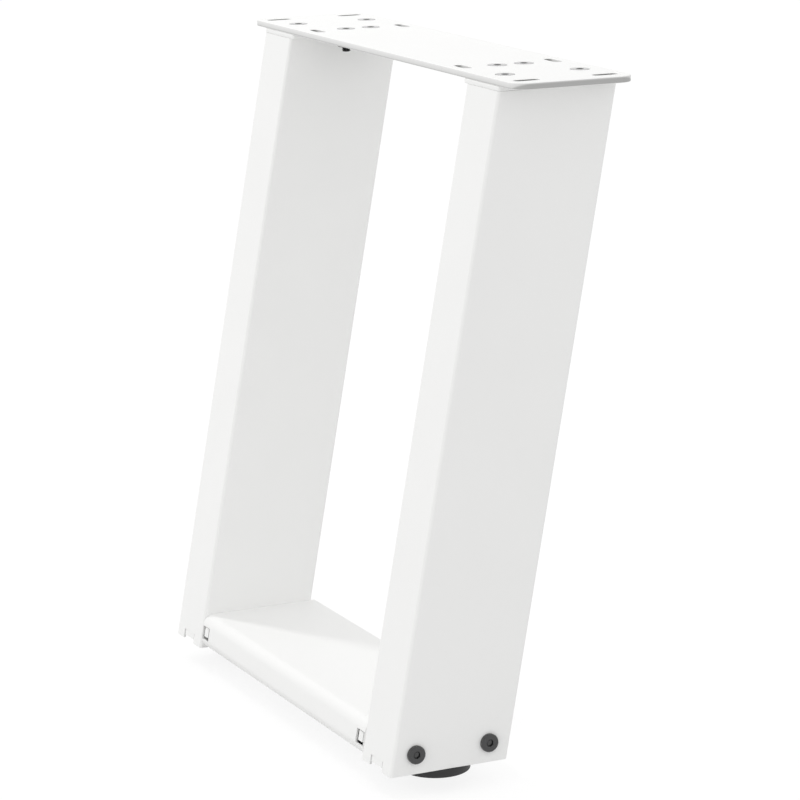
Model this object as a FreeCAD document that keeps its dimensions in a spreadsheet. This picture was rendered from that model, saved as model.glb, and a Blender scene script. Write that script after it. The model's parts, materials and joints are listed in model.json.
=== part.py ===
import FreeCAD, Part
import math
import os

import Sketcher
from FreeCAD import Rotation, Vector

# U-shaped steel leg for a low table
#
# A flat plate carries the table top. Two leaning posts of folded sheet are welded to flanges that
# are screwed up under the plate. A crossbar of folded sheet ties the posts near the floor, held by
# two long bolts through each post. A levelling foot screws into the bottom of each post.
#
# Frame, in millimetres: the origin is the centre of the plate's top face. X runs along the plate,
# Z is up, and the posts lean towards -Y on their way down. Front is -Y and rear is +Y.

# Every size that can be set by itself: its name, its value and what it measures
SIZES = [
    ("leg_height", 420, "floor to the plate's top face, feet screwed in"),
    ("frame_width", 337, "over the outer faces of the two posts"),
    ("lean_angle", 10.25, "degrees that the posts lean from upright"),
    ("plate_overhang", 21.5, "top plate past a post's outer face"),
    ("plate_margin", 0.5, "top plate past the posts' front and rear"),
    ("plate_thickness", 4, "top plate's sheet"),
    ("plate_corner_radius", 10, "top plate's corners seen from above"),
    ("slot_length", 17, "fixing slot, end to end"),
    ("slot_width", 6, "fixing slot across"),
    ("end_slot_offset", 8.5, "post's outer face to the end slots"),
    ("end_slot_margin", 14, "plate's front or rear edge to the middle of an end slot"),
    ("side_slot_offset", 23, "post's inner face to the middle of a side slot"),
    ("side_slot_margin", 9.5, "plate's front or rear edge to the side slots"),
    ("screw_diameter", 6, "plate screw's shank"),
    ("screw_head_diameter", 12, "plate screw's countersunk head"),
    ("screw_length", 15, "plate screw over all"),
    ("screw_hole_clearance", 0.5, "clearance hole wider than the shank"),
    ("countersink_clearance", 0.1, "countersink's radius over the head's"),
    ("socket_width", 4, "hexagon socket across its flats"),
    ("socket_depth", 2, "hexagon socket in every head"),
    ("inner_screw_offset", 20, "post's inner face to the inner screws"),
    ("inner_screw_spacing", 18, "between the two inner screws of a flange"),
    ("outer_screw_margin", 14.5, "post's front or rear to the outer screws"),
    ("screw_nut_width", 10, "flange nut across its flats"),
    ("screw_nut_height", 5, "flange nut"),
    ("thread_clearance", 0.05, "nut's bore over the thread, on the radius"),
    ("post_width", 41, "post along X"),
    ("post_depth", 79, "post along Y, on a level cut"),
    ("post_wall", 1.5, "post's sheet"),
    ("post_bend_radius", 2, "post's outer corners"),
    ("flange_thickness", 3, "flange on top of a post"),
    ("flange_overlap", 3.5, "flange past the post's inner face"),
    ("flange_corner_radius", 1.5, "flange's corners"),
    ("tongue_margin", 9.5, "tongue past its screws, towards the middle"),
    ("tongue_side_margin", 9, "tongue past its screws, along Y"),
    ("tongue_corner_radius", 6, "tongue's free corners"),
    ("crossbar_height", 23, "crossbar"),
    ("crossbar_wall", 1.5, "crossbar's sheet"),
    ("crossbar_rear_overhang", 4, "crossbar past the posts' rear faces"),
    ("crossbar_front_radius", 7.5, "crossbar's two front bends"),
    ("crossbar_rear_radius", 2.5, "crossbar's two rear bends"),
    ("window_length", 10.5, "window in the crossbar along X"),
    ("window_height", 9, "window in the crossbar"),
    ("window_drop", 7, "crossbar's top face to the window's upper edge"),
    ("window_gap", 0.5, "window to the end of the crossbar"),
    ("block_thickness", 9, "threaded block in the crossbar's end, along X"),
    ("block_lift", 4, "threaded block above the crossbar's lower sheet"),
    ("block_margin", 7, "threaded block past its threads along Y"),
    ("tab_side_gap", 2.3, "window's upright edges to the block's tab"),
    ("tab_upper_gap", 0.7, "window's upper edge to the tab"),
    ("tab_lower_gap", 2.2, "window's lower edge to the tab"),
    ("tab_recess", 0.6, "tab's end behind the crossbar's face"),
    ("bolt_diameter", 6, "crossbar bolt's shank"),
    ("bolt_length", 50, "crossbar bolt under its head"),
    ("bolt_head_diameter", 11.6, "crossbar bolt's head"),
    ("bolt_head_height", 2.4, "crossbar bolt's head"),
    ("bolt_head_bevel", 0.6, "bevel round the bolt head's face"),
    ("bolt_hole_clearance", 0.6, "bolt's hole in the post wider than the shank"),
    ("bolt_rise", 12.5, "post's bottom edge to the bolts"),
    ("bolt_margin", 14.9, "post's front or rear to the bolts"),
    ("notch_width", 16.5, "notch in the post's bottom edge"),
    ("foot_plate_thickness", 4, "plate inside the post's bottom"),
    ("foot_plate_inset", 2.4, "post's bottom edge to the foot plate"),
    ("foot_plate_clearance", 0.5, "foot plate to the inside of the post"),
    ("notch_side_gap", 1.2, "notch's upright edges to the foot plate's tab"),
    ("notch_recess", 0.3, "foot plate's tab behind the post's face"),
    ("foot_drop", 5.4, "post's bottom edge to the floor"),
    ("foot_clearance", 0.2, "foot to the post's bottom edge"),
    ("pad_diameter", 43, "plastic foot"),
    ("pad_edge_radius", 1, "plastic foot's lower edge"),
    ("hub_diameter", 24, "raised middle of the plastic foot"),
    ("stud_diameter", 8, "foot's threaded stud"),
    ("stud_length", 30, "foot's threaded stud above its head"),
    ("stud_chamfer", 1, "stud's upper end"),
    ("stud_hole_clearance", 0.5, "foot plate's hole wider than the stud"),
    ("stud_head_width", 13, "stud's hexagon head across its flats"),
    ("stud_head_height", 4.5, "stud's hexagon head"),
    ("foot_nut_width", 13, "foot nut across its flats"),
    ("foot_nut_height", 6.5, "foot nut"),
    ("thread_end_chamfer", 0.6, "lower ends of the screws and inner ends of the bolts"),
]

# Two lengths or places closer than this are the same
TOLERANCE = 1e-6
# The two ends of the leg, and where each lies along X
SIDES = {"left": -1, "right": 1}
# The front and the rear of the leg along Y
ENDS = {"front": -1, "rear": 1}

doc = FreeCAD.newDocument("u_table_leg")
sheet = doc.addObject("Spreadsheet::Sheet", "Sizes")
for row, (alias, value, meaning) in enumerate(SIZES, start=1):
    sheet.set(f"A{row}", meaning)
    sheet.set(f"B{row}", str(value))
    sheet.setAlias(f"B{row}", alias)
doc.recompute()

# Places and sizes that follow from the driving ones, written for setExpression
LEAN = "tan(Sizes.lean_angle * 1 deg)"
SLANT = "cos(Sizes.lean_angle * 1 deg)"
POST_X = "((Sizes.frame_width - Sizes.post_width) / 2)"
INNER_FACE_X = "(Sizes.frame_width / 2 - Sizes.post_width)"
POST_BOTTOM = "(Sizes.leg_height - Sizes.foot_drop)"
POST_BOTTOM_Y = f"(-{LEAN} * ({POST_BOTTOM} - Sizes.plate_thickness))"
POST_WALL_Y = f"(Sizes.post_wall / {SLANT})"
CROSSBAR_WALL_Y = f"(Sizes.crossbar_wall / {SLANT})"
CROSSBAR_DEPTH = "(Sizes.post_depth + Sizes.crossbar_rear_overhang)"
INNER_SCREW_X = f"({INNER_FACE_X} - Sizes.inner_screw_offset)"
SCREW_HOLE = "(Sizes.screw_diameter + Sizes.screw_hole_clearance)"
BOLT_Y = f"({POST_BOTTOM_Y} + {LEAN} * Sizes.bolt_rise)"
FOOT_PLATE_TOP = "(Sizes.foot_plate_inset + Sizes.foot_plate_thickness)"
FOOT_SHIFT = f"({LEAN} * (Sizes.foot_plate_inset + Sizes.foot_plate_thickness / 2))"
HUB_TOP = "(Sizes.foot_plate_inset - 2 * Sizes.foot_clearance)"
WINDOW_INSET = "(Sizes.window_gap + Sizes.window_length / 2)"
WINDOW_TOP = "(Sizes.crossbar_height - Sizes.window_drop)"
PLATE_WIDTH = "(Sizes.post_depth + 2 * Sizes.plate_margin)"
BOLT_SPACING = "(Sizes.post_depth - 2 * Sizes.bolt_margin)"
# The rows of plate screws in each flange: name, distance from the middle and spacing
SCREW_ROWS = [
    ("inner", INNER_SCREW_X, "Sizes.inner_screw_spacing"),
    ("outer", POST_X, "(Sizes.post_depth - 2 * Sizes.outer_screw_margin)"),
]

PARTS = []


def size(name):
    """A driving dimension as a number."""
    return float(sheet.get(name))


def bind(obj, **expressions):
    """Tie properties to expressions; two underscores in a name stand for a dot."""
    for name, expression in expressions.items():
        obj.setExpression(name.replace("__", "."), expression)


def place(obj, x="0", y="0", z="0"):
    """Tie an object's place in the leg's frame to expressions."""
    bind(obj, Placement__Base__x=x, Placement__Base__y=y, Placement__Base__z=z)


def keep(obj, label):
    """List an object as a finished sub-part under its own label."""
    obj.Label = label
    PARTS.append(obj)
    return obj


def new_body(label):
    """A body for one sub-part."""
    return keep(doc.addObject("PartDesign::Body", label), label)


def new_sketch(body, name, role="XY_Plane", x="0", y="0", z="0"):
    """A sketch on one of the body's own planes, moved by expressions in the plane's axes."""
    sketch = body.newObject("Sketcher::SketchObject", f"{body.Name}_{name}")
    plane = next(feature for feature in body.Origin.OriginFeatures if feature.Role == role)
    sketch.AttachmentSupport = [(plane, "")]
    sketch.MapMode = "FlatFace"
    bind(sketch, AttachmentOffset__Base__x=x, AttachmentOffset__Base__y=y, AttachmentOffset__Base__z=z)
    return sketch


def constrain(sketch, name, expression, kind, *where):
    """Add a dimension under a name and tie it to an expression."""
    index = sketch.addConstraint(Sketcher.Constraint(kind, *where))
    sketch.renameConstraint(index, name)
    sketch.setExpression(f"Constraints.{name}", expression)


def closed_outline(sketch, points):
    """Draw straight lines from point to point and back; return the first line's number."""
    first = sketch.GeometryCount
    count = len(points)
    for index, point in enumerate(points):
        sketch.addGeometry(Part.LineSegment(point, points[(index + 1) % count]), False)
    for index in range(count):
        following = first + (index + 1) % count
        sketch.addConstraint(Sketcher.Constraint("Coincident", first + index, 2, following, 1))
    return first


def add_rectangle(sketch, width, height):
    """A rectangle about the sketch's origin, its sides tied to two expressions."""
    corners = [Vector(-1, -1, 0), Vector(1, -1, 0), Vector(1, 1, 0), Vector(-1, 1, 0)]
    first = closed_outline(sketch, corners)
    for line in (0, 2):
        sketch.addConstraint(Sketcher.Constraint("Horizontal", first + line))
        sketch.addConstraint(Sketcher.Constraint("Vertical", first + line + 1))
    sketch.addConstraint(Sketcher.Constraint("Symmetric", first, 1, first + 1, 2, -1, 1))
    constrain(sketch, "width", width, "DistanceX", first, 1, first, 2, 2)
    constrain(sketch, "height", height, "DistanceY", first + 1, 1, first + 1, 2, 2)
    return sketch


def add_circle(sketch, name, x, y, diameter):
    """A circle whose centre and diameter are tied to expressions."""
    circle = sketch.addGeometry(Part.Circle(Vector(0, 0, 0), Vector(0, 0, 1), 1), False)
    constrain(sketch, f"{name}_x", x, "DistanceX", -1, 1, circle, 3, 0)
    constrain(sketch, f"{name}_y", y, "DistanceY", -1, 1, circle, 3, 0)
    constrain(sketch, f"{name}_diameter", diameter, "Diameter", circle, 2)


def add_slot(sketch, name, x, y, along_x):
    """A fixing slot about a centre tied to expressions, along X or along Y."""
    reach = "((Sizes.slot_length - Sizes.slot_width) / 2)"
    half, radius = (size("slot_length") - size("slot_width")) / 2, size("slot_width") / 2
    turn = 0 if along_x else math.pi / 2
    along, across = Vector(math.cos(turn), math.sin(turn), 0), Vector(-math.sin(turn), math.cos(turn), 0)
    low, high, side = along * -half, along * half, across * radius
    low_end = Part.Circle(low, Vector(0, 0, 1), radius)
    high_end = Part.Circle(high, Vector(0, 0, 1), radius)
    ring = [
        Part.ArcOfCircle(low_end, turn + math.pi / 2, turn + 3 * math.pi / 2),
        Part.LineSegment(low - side, high - side),
        Part.ArcOfCircle(high_end, turn - math.pi / 2, turn + math.pi / 2),
        Part.LineSegment(high + side, low + side),
    ]
    ring = [sketch.addGeometry(piece, False) for piece in ring]
    for index, piece in enumerate(ring):
        following = ring[(index + 1) % len(ring)]
        sketch.addConstraint(Sketcher.Constraint("Tangent", piece, 2, following, 1))
    low_arc, first_line, high_arc = ring[:3]
    sketch.addConstraint(Sketcher.Constraint("Equal", low_arc, high_arc))
    sketch.addConstraint(Sketcher.Constraint("Horizontal" if along_x else "Vertical", first_line))
    low_x = f"{x} - {reach}" if along_x else x
    low_y = y if along_x else f"{y} - {reach}"
    span = "DistanceX" if along_x else "DistanceY"
    constrain(sketch, f"{name}_x", low_x, "DistanceX", -1, 1, low_arc, 3, low.x)
    constrain(sketch, f"{name}_y", low_y, "DistanceY", -1, 1, low_arc, 3, low.y)
    constrain(sketch, f"{name}_reach", f"2 * {reach}", span, low_arc, 3, high_arc, 3, 2 * half)
    constrain(sketch, f"{name}_radius", "Sizes.slot_width / 2", "Radius", low_arc, radius)


def add_pad(body, sketch, name, length, leaning=False, downward=True):
    """Raise a sketch to a solid, straight or along the posts' lean."""
    pad = body.newObject("PartDesign::Pad", f"{body.Name}_{name}")
    pad.Profile = sketch
    bind(pad, Length=length)
    if leaning:
        pad.UseCustomVector = True
        pad.Direction = Vector(0, -1, -1)
        bind(pad, Direction__y=f"-{LEAN}")
        pad.AlongSketchNormal = True
    else:
        pad.Reversed = downward
    doc.recompute()
    return pad


def add_pocket(body, sketch, name):
    """Cut a sketch right through the body, on both sides of the sketch."""
    before = body.Shape.Volume
    pocket = body.newObject("PartDesign::Pocket", f"{body.Name}_{name}")
    pocket.Profile = sketch
    pocket.Type = "ThroughAll"
    pocket.SideType = "Symmetric"
    doc.recompute()
    if not body.Shape.Volume < before:
        raise RuntimeError(f"{pocket.Name} cuts nothing")
    return pocket


def edge_names(feature, wanted):
    """Names of the feature's edges that pass a test."""
    names = [f"Edge{number}" for number, edge in enumerate(feature.Shape.Edges, start=1) if wanted(edge)]
    if not names:
        raise RuntimeError(f"{feature.Name} has no such edge")
    return names


def upright(edge):
    """True for a straight edge that runs up, whether it leans with the posts or not."""
    line = edge.Vertexes[-1].Point - edge.Vertexes[0].Point
    return isinstance(edge.Curve, Part.Line) and abs(line.z) > abs(line.x) + abs(line.y)


def rim(radius, z):
    """A test for a full circle of a given radius at a given height."""
    def wanted(edge):
        if not (isinstance(edge.Curve, Part.Circle) and edge.isClosed()):
            return False
        level = math.isclose(edge.Curve.Center.z, z, abs_tol=TOLERANCE)
        return level and math.isclose(edge.Curve.Radius, radius)
    return wanted


def add_fillet(body, base, name, edges, radius, kind="Fillet"):
    """Round or bevel edges of a feature by a size tied to an expression."""
    dressed = body.newObject(f"PartDesign::{kind}", f"{body.Name}_{name}")
    dressed.Base = (base, edges)
    bind(dressed, **{"Size" if kind == "Chamfer" else "Radius": radius})
    doc.recompute()
    return dressed


def primitive(kind, name, **expressions):
    """A Part primitive whose sizes are tied to expressions."""
    solid = doc.addObject(f"Part::{kind}", name)
    bind(solid, **expressions)
    return solid


def hexagon(name, width, height, z="0"):
    """A hexagonal prism by its width across the flats."""
    prism = primitive("Prism", name, Circumradius=f"{width} / sqrt(3)", Height=height)
    prism.Polygon = 6
    place(prism, z=z)
    return prism


def fused(name, *solids):
    """One solid made from several."""
    union = doc.addObject("Part::MultiFuse", name)
    union.Shapes = list(solids)
    return union


def without(name, base, tool):
    """A solid with another one taken out of it."""
    result = doc.addObject("Part::Cut", name)
    result.Base = base
    result.Tool = tool
    return result


def make_top_plate():
    """Flat plate with rounded corners, eight fixing slots and eight countersunk holes."""
    body = new_body("top_plate")
    length = "Sizes.frame_width + 2 * Sizes.plate_overhang"
    outline = add_rectangle(new_sketch(body, "outline"), length, PLATE_WIDTH)
    pad = add_pad(body, outline, "pad", "Sizes.plate_thickness")
    add_fillet(body, pad, "corners", edge_names(pad, upright), "Sizes.plate_corner_radius")
    slots = new_sketch(body, "slots")
    holes = new_sketch(body, "holes")
    end_slot_x = "(Sizes.frame_width / 2 + Sizes.end_slot_offset)"
    side_slot_x = f"({INNER_FACE_X} - Sizes.side_slot_offset)"
    for side, along in SIDES.items():
        for end, across in ENDS.items():
            name = f"{side}_{end}"
            end_y = f"({across} * ({PLATE_WIDTH} / 2 - Sizes.end_slot_margin))"
            side_y = f"({across} * ({PLATE_WIDTH} / 2 - Sizes.side_slot_margin))"
            add_slot(slots, f"end_{name}", f"{along} * {end_slot_x}", end_y, along_x=False)
            add_slot(slots, f"side_{name}", f"{along} * {side_slot_x}", side_y, along_x=True)
            for place_name, x, spacing in SCREW_ROWS:
                y = f"{across} * {spacing} / 2"
                add_circle(holes, f"{place_name}_{name}", f"{along} * {x}", y, SCREW_HOLE)
    add_pocket(body, slots, "slot_cut")
    drilled = add_pocket(body, holes, "hole_cut")
    hole_radius = (size("screw_diameter") + size("screw_hole_clearance")) / 2
    sink = f"(Sizes.screw_head_diameter - {SCREW_HOLE}) / 2 + Sizes.countersink_clearance"
    add_fillet(body, drilled, "countersinks", edge_names(drilled, rim(hole_radius, 0)), sink, kind="Chamfer")


def make_post_flange(side, along):
    """Plate on top of a post, with a tongue towards the middle that carries the inner screws."""
    body = new_body(f"{side}_post_flange")
    place(body, x=f"{along} * {POST_X}", z="-Sizes.plate_thickness")
    base = new_sketch(body, "base_outline", x=f"{-along} * Sizes.flange_overlap / 2")
    add_rectangle(base, "Sizes.post_width + Sizes.flange_overlap", PLATE_WIDTH)
    base_pad = add_pad(body, base, "base", "Sizes.flange_thickness")
    add_fillet(body, base_pad, "corners", edge_names(base_pad, upright), "Sizes.flange_corner_radius")
    reach = "(Sizes.post_width / 2 + Sizes.inner_screw_offset + Sizes.tongue_margin)"
    tongue = new_sketch(body, "tongue_outline", x=f"{-along} * {reach} / 2")
    add_rectangle(tongue, reach, "Sizes.inner_screw_spacing + 2 * Sizes.tongue_side_margin")
    tongue_pad = add_pad(body, tongue, "tongue", "Sizes.flange_thickness")
    tip = size("post_width") / 2 + size("inner_screw_offset")
    free = edge_names(tongue_pad, lambda edge: upright(edge) and -along * edge.CenterOfMass.x > tip)
    add_fillet(body, tongue_pad, "tongue_corners", free, "Sizes.tongue_corner_radius")
    holes = new_sketch(body, "holes")
    for end, across in ENDS.items():
        for place_name, x, spacing in SCREW_ROWS:
            y = f"{across} * {spacing} / 2"
            add_circle(holes, f"{place_name}_{end}", f"{along} * ({x} - {POST_X})", y, SCREW_HOLE)
    add_pocket(body, holes, "hole_cut")


def make_post(side, along):
    """Leaning box of folded sheet with bolt holes and a notch in each bottom edge."""
    body = new_body(f"{side}_post")
    place(body, x=f"{along} * {POST_X}", z="-Sizes.plate_thickness")
    top_y, top_z = f"-{LEAN} * Sizes.flange_thickness", "-Sizes.flange_thickness"
    height = f"{POST_BOTTOM} - Sizes.plate_thickness - Sizes.flange_thickness"
    outside = new_sketch(body, "outside", y=top_y, z=top_z)
    add_rectangle(outside, "Sizes.post_width", "Sizes.post_depth")
    pad = add_pad(body, outside, "pad", height, leaning=True)
    bent = add_fillet(body, pad, "outer_bends", edge_names(pad, upright), "Sizes.post_bend_radius")
    inside = new_sketch(body, "inside", y=top_y, z=top_z)
    add_rectangle(inside, "Sizes.post_width - 2 * Sizes.post_wall", f"Sizes.post_depth - 2 * {POST_WALL_Y}")
    hollow = body.newObject("PartDesign::Pocket", f"{body.Name}_hollow")
    hollow.Profile = inside
    hollow.UseCustomVector = True
    hollow.Direction = Vector(0, -1, -1)
    hollow.AlongSketchNormal = True
    bind(hollow, Length=height, Direction__y=f"-{LEAN}")
    doc.recompute()
    if not hollow.Shape.Volume < bent.Shape.Volume:
        raise RuntimeError(f"{hollow.Name} cuts nothing")
    inner_x = size("post_width") / 2 - size("post_wall")

    def inner_corner(edge):
        """True for an upright edge on the inner faces."""
        return upright(edge) and math.isclose(abs(edge.CenterOfMass.x), inner_x, abs_tol=TOLERANCE)

    inner_radius = "Sizes.post_bend_radius - Sizes.post_wall"
    add_fillet(body, hollow, "inner_bends", edge_names(hollow, inner_corner), inner_radius)
    bolt_holes = new_sketch(body, "bolt_holes", role="YZ_Plane")
    bolt_z = f"Sizes.plate_thickness - {POST_BOTTOM} + Sizes.bolt_rise"
    for end, across in ENDS.items():
        y = f"{BOLT_Y} + {across} * {BOLT_SPACING} / 2"
        add_circle(bolt_holes, end, y, bolt_z, "Sizes.bolt_diameter + Sizes.bolt_hole_clearance")
    add_pocket(body, bolt_holes, "bolt_hole_cut")
    notch = new_sketch(body, "notch", role="XZ_Plane", y=f"Sizes.plate_thickness - {POST_BOTTOM}")
    add_rectangle(notch, "Sizes.notch_width", f"2 * {FOOT_PLATE_TOP}")
    add_pocket(body, notch, "notch_cut")


def add_leaning_section(sketch, y, z, depth, height):
    """A four-sided outline with level top and bottom whose sides lean with the posts."""
    first = closed_outline(sketch, [Vector(-1, -1, 0), Vector(1, -1, 0), Vector(2, 1, 0), Vector(0, 1, 0)])
    bottom, rear, top, front = range(first, sketch.GeometryCount)
    sketch.addConstraint(Sketcher.Constraint("Horizontal", bottom))
    sketch.addConstraint(Sketcher.Constraint("Horizontal", top))
    sketch.addConstraint(Sketcher.Constraint("Parallel", rear, front))
    constrain(sketch, "depth", depth, "DistanceX", bottom, 1, bottom, 2, 2)
    constrain(sketch, "height", height, "DistanceY", bottom, 1, front, 1, 2)
    constrain(sketch, "lean", f"{LEAN} * {height}", "DistanceX", bottom, 1, front, 1, 1)
    constrain(sketch, "y", y, "DistanceX", -1, 1, bottom, 1, -1)
    constrain(sketch, "z", z, "DistanceY", -1, 1, bottom, 1, -1)
    return sketch


def add_bends(body, feature, name, inset):
    """Round the crossbar's section on its outside, or its inside that lies deeper by the sheet."""
    levels = {"upper": size("crossbar_height") - size("crossbar_wall") * inset}
    levels["lower"] = size("crossbar_wall") * inset

    def bend(level, across):
        """A test for the edge along X at one level, on the front or on the rear."""
        def wanted(edge):
            line = edge.Vertexes[-1].Point - edge.Vertexes[0].Point
            middle = edge.CenterOfMass
            lengthwise = isinstance(edge.Curve, Part.Line) and abs(line.x) > abs(line.y) + abs(line.z)
            at_level = math.isclose(middle.z, levels[level], abs_tol=TOLERANCE)
            return lengthwise and at_level and across * middle.y > 0
        return wanted

    for level in levels:
        for end, across in ENDS.items():
            edges = edge_names(feature, bend(level, across))
            radius = f"Sizes.crossbar_{end}_radius - {inset} * Sizes.crossbar_wall"
            feature = add_fillet(body, feature, f"{name}_{level}_{end}", edges, radius)
    return feature


def make_crossbar():
    """Folded sheet between the posts, open at its ends, with a window in each end of both faces."""
    body = new_body("crossbar")
    place(body, y=POST_BOTTOM_Y, z=f"-{POST_BOTTOM}")
    outside = new_sketch(body, "outside", role="YZ_Plane", z=f"-{INNER_FACE_X}")
    add_leaning_section(outside, "-Sizes.post_depth / 2", "0", CROSSBAR_DEPTH, "Sizes.crossbar_height")
    add_pad(body, outside, "pad", f"2 * {INNER_FACE_X}", downward=False)
    inside = new_sketch(body, "inside", role="YZ_Plane")
    near_y = f"-Sizes.post_depth / 2 + {CROSSBAR_WALL_Y} + {LEAN} * Sizes.crossbar_wall"
    inner_depth = f"{CROSSBAR_DEPTH} - 2 * {CROSSBAR_WALL_Y}"
    inner_height = "(Sizes.crossbar_height - 2 * Sizes.crossbar_wall)"
    add_leaning_section(inside, near_y, "Sizes.crossbar_wall", inner_depth, inner_height)
    hollow = add_pocket(body, inside, "hollow")
    bent = add_bends(body, hollow, "inner", 1)
    add_bends(body, bent, "outer", 0)
    window_z = f"{WINDOW_TOP} - Sizes.window_height / 2"
    for side, along in SIDES.items():
        x = f"{along} * ({INNER_FACE_X} - {WINDOW_INSET})"
        window = new_sketch(body, f"{side}_window", role="XZ_Plane", x=x, y=window_z)
        add_rectangle(window, "Sizes.window_length", "Sizes.window_height")
        add_pocket(body, window, f"{side}_window_cut")


def make_crossbar_block(side, along):
    """Threaded block inside the crossbar's end, with a tab that shows in each window."""
    body = new_body(f"{side}_crossbar_block")
    place(body, x=f"{along} * {INNER_FACE_X}", y=POST_BOTTOM_Y, z=f"-{POST_BOTTOM}")
    top = "(Sizes.crossbar_height - Sizes.crossbar_wall)"
    middle = f"{-along} * Sizes.block_thickness / 2"
    outline = new_sketch(body, "outline", x=middle, y=f"{LEAN} * {top}", z=top)
    add_rectangle(outline, "Sizes.block_thickness", f"{BOLT_SPACING} + 2 * Sizes.block_margin")
    add_pad(body, outline, "pad", f"{top} - Sizes.crossbar_wall - Sizes.block_lift", leaning=True)
    tab_top = f"({WINDOW_TOP} - Sizes.tab_upper_gap)"
    tab_y = f"{LEAN} * {tab_top} + Sizes.crossbar_rear_overhang / 2"
    tabs = new_sketch(body, "tabs_outline", x=f"{-along} * {WINDOW_INSET}", y=tab_y, z=tab_top)
    tab_length = "Sizes.window_length - 2 * Sizes.tab_side_gap"
    tab_height = "Sizes.window_height - Sizes.tab_upper_gap - Sizes.tab_lower_gap"
    add_rectangle(tabs, tab_length, f"{CROSSBAR_DEPTH} - 2 * Sizes.tab_recess")
    add_pad(body, tabs, "tabs", tab_height, leaning=True)
    threads = new_sketch(body, "threads", role="YZ_Plane")
    for end, across in ENDS.items():
        y = f"{LEAN} * Sizes.bolt_rise + {across} * {BOLT_SPACING} / 2"
        add_circle(threads, end, y, "Sizes.bolt_rise", "Sizes.bolt_diameter + 2 * Sizes.thread_clearance")
    add_pocket(body, threads, "thread_cut")


def make_foot_plate(side, along):
    """Plate inside the bottom of a post, with a tab in each of the post's notches."""
    body = new_body(f"{side}_foot_plate")
    place(body, x=f"{along} * {POST_X}", y=POST_BOTTOM_Y, z=f"-{POST_BOTTOM}")
    y = f"{LEAN} * {FOOT_PLATE_TOP}"
    outline = new_sketch(body, "outline", y=y, z=FOOT_PLATE_TOP)
    width = "Sizes.post_width - 2 * Sizes.post_wall - 2 * Sizes.foot_plate_clearance"
    depth = f"Sizes.post_depth - 2 * {POST_WALL_Y} - 2 * Sizes.foot_plate_clearance"
    add_rectangle(outline, width, depth)
    add_pad(body, outline, "pad", "Sizes.foot_plate_thickness", leaning=True)
    tabs = new_sketch(body, "tabs_outline", y=y, z=FOOT_PLATE_TOP)
    tab_width = "Sizes.notch_width - 2 * Sizes.notch_side_gap"
    add_rectangle(tabs, tab_width, "Sizes.post_depth - 2 * Sizes.notch_recess")
    add_pad(body, tabs, "tabs", "Sizes.foot_plate_thickness", leaning=True)
    hole = new_sketch(body, "stud_hole")
    add_circle(hole, "stud", "0", FOOT_SHIFT, "Sizes.stud_diameter + Sizes.stud_hole_clearance")
    add_pocket(body, hole, "stud_hole_cut")


def threaded_shank(name, diameter, length, chamfer):
    """A shank that hangs down from its own origin, bevelled at its lower end."""
    upper = primitive("Cylinder", f"{name}_shank", Radius=f"{diameter} / 2", Height=f"{length} - {chamfer}")
    place(upper, z=f"{chamfer} - {length}")
    tip_radius = f"{diameter} / 2 - {chamfer}"
    tip = primitive("Cone", f"{name}_tip", Radius1=tip_radius, Radius2=f"{diameter} / 2", Height=chamfer)
    place(tip, z=f"-{length}")
    return [upper, tip]


def make_nut(label, width, height, thread, x, y, z):
    """Hexagon nut with its lower face at z."""
    bore_radius = f"{thread} / 2 + Sizes.thread_clearance"
    bore = primitive("Cylinder", f"{label}_bore", Radius=bore_radius, Height=height)
    nut = keep(without(f"{label}_solid", hexagon(f"{label}_hexagon", width, height), bore), label)
    place(nut, x, y, z)


def make_plate_screw(label, x, y):
    """Countersunk screw with a hexagon socket, its head level with the plate."""
    head_height = "(Sizes.screw_head_diameter - Sizes.screw_diameter) / 2"
    head = primitive(
        "Cone",
        f"{label}_head",
        Radius1="Sizes.screw_diameter / 2",
        Radius2="Sizes.screw_head_diameter / 2",
        Height=head_height,
    )
    place(head, z=f"-{head_height}")
    shank = threaded_shank(label, "Sizes.screw_diameter", "Sizes.screw_length", "Sizes.thread_end_chamfer")
    socket = hexagon(f"{label}_socket", "Sizes.socket_width", "Sizes.socket_depth", z="-Sizes.socket_depth")
    screw = keep(without(f"{label}_solid", fused(f"{label}_blank", head, *shank), socket), label)
    place(screw, x, y)


def make_plate_screws(side, along):
    """Four screws down through the plate and one post's flange, and the nuts under the flange."""
    number = 0
    nut_z = "-(Sizes.plate_thickness + Sizes.flange_thickness + Sizes.screw_nut_height)"
    for place_name, distance, spacing in SCREW_ROWS:
        for across in ENDS.values():
            number += 1
            x, y = f"{along} * {distance}", f"{across} * {spacing} / 2"
            make_plate_screw(f"{side}_plate_screw_{number}", x, y)
            width, height = "Sizes.screw_nut_width", "Sizes.screw_nut_height"
            make_nut(f"{side}_flange_nut_{number}", width, height, "Sizes.screw_diameter", x, y, nut_z)


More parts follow.
